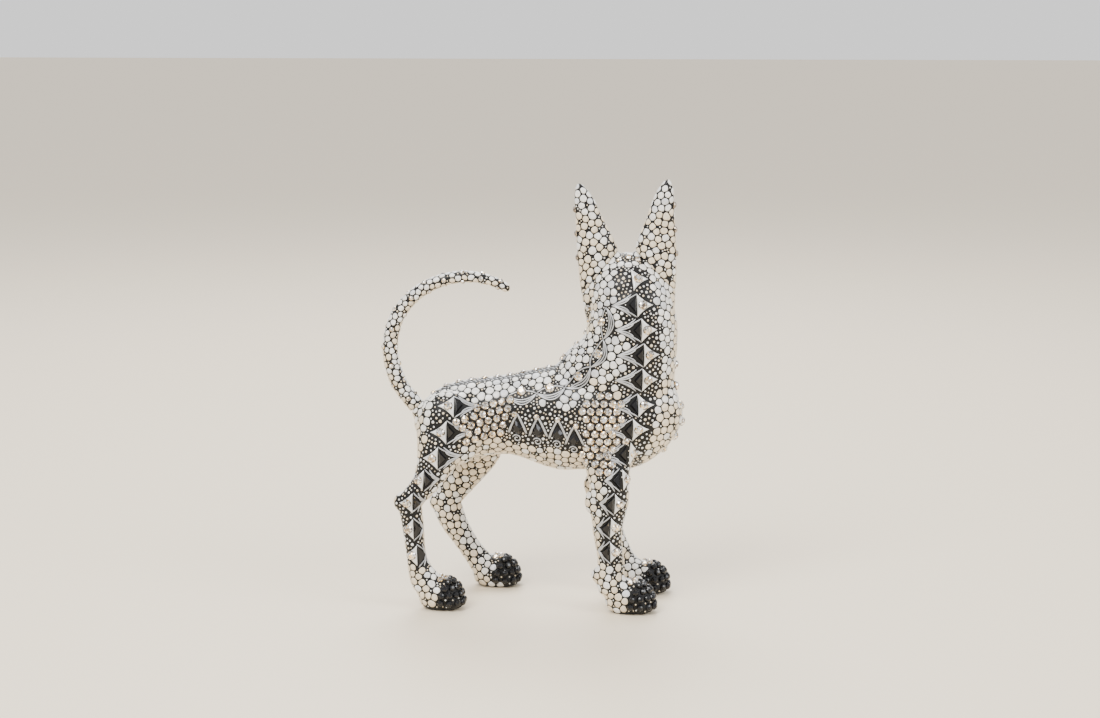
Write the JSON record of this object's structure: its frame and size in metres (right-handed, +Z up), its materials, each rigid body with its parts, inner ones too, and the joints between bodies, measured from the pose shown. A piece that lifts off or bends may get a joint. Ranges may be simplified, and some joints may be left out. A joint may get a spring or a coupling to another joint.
{
  "type": "painted wooden dog figure",
  "caption": "Standing carved wooden dog, head turned to its left, painted in raised dots and set with flat-backed crystals; ears and curled tail plug in.",
  "frame": {"origin": "on the ground, under the middle of the whole figure", "axes": "+X the way the trunk points, +Y the dog's own left and the way its face looks, +Z up"},
  "size_m": [0.153, 0.0774, 0.2156],
  "materials": {
    "painted_wood": "sanded light wood under glossy black paint and raised cream dots",
    "clear_crystal": "foil-backed flat-back crystal, polished",
    "black_stone": "opaque black faceted stone, polished",
    "smoky_crystal": "dark foil-backed flat-back crystal, polished"
  },
  "bodies": {
    "carving": {"breast_crystals": "clear_crystal", "carved_body": "painted_wood", "eyes": "black_stone", "flank_drops_left": "black_stone", "flank_drops_right": "black_stone", "flank_tip_crystals_left": "clear_crystal", "flank_tip_crystals_right": "clear_crystal", "fore_line_crystals_left": "clear_crystal", "fore_line_crystals_right": "clear_crystal", "fore_line_triangles_left": "black_stone", "fore_line_triangles_right": "black_stone", "garland_crystals_left": "clear_crystal", "garland_crystals_right": "clear_crystal", "haunch_crystals_left": "clear_crystal", "haunch_crystals_right": "clear_crystal", "hind_line_crystals_left": "clear_crystal", "hind_line_crystals_right": "clear_crystal", "hind_line_triangles_left": "black_stone", "hind_line_triangles_right": "black_stone", "paw_crystals_fore_left": "clear_crystal", "paw_crystals_fore_right": "clear_crystal", "paw_crystals_hind_left": "clear_crystal", "paw_crystals_hind_right": "clear_crystal", "shoulder_crystals_left": "clear_crystal", "shoulder_crystals_right": "clear_crystal", "spine_crystals": "clear_crystal", "toe_stones_fore_left": "black_stone", "toe_stones_fore_right": "black_stone", "toe_stones_hind_left": "black_stone", "toe_stones_hind_right": "black_stone"},
    "ear_right": {"ear_right": "painted_wood", "ear_stones_right": "smoky_crystal"},
    "ear_left": {"ear_left": "painted_wood", "ear_stones_left": "smoky_crystal"},
    "tail": {"tail": "painted_wood", "tail_crystals": "clear_crystal"}
  },
  "joints": [
    {"name": "ear_right_pull", "type": "slide", "parent": "carving", "child": "ear_right", "axis": [0.7133, 0, 0.7009], "range_m": [0, 0.014]},
    {"name": "ear_left_pull", "type": "slide", "parent": "carving", "child": "ear_left", "axis": [-0.7826, 0, 0.6225], "range_m": [0, 0.014]},
    {"name": "tail_pull", "type": "slide", "parent": "carving", "child": "tail", "axis": [-0.6497, 0, 0.7602], "range_m": [0, 0.013]}
  ]
}
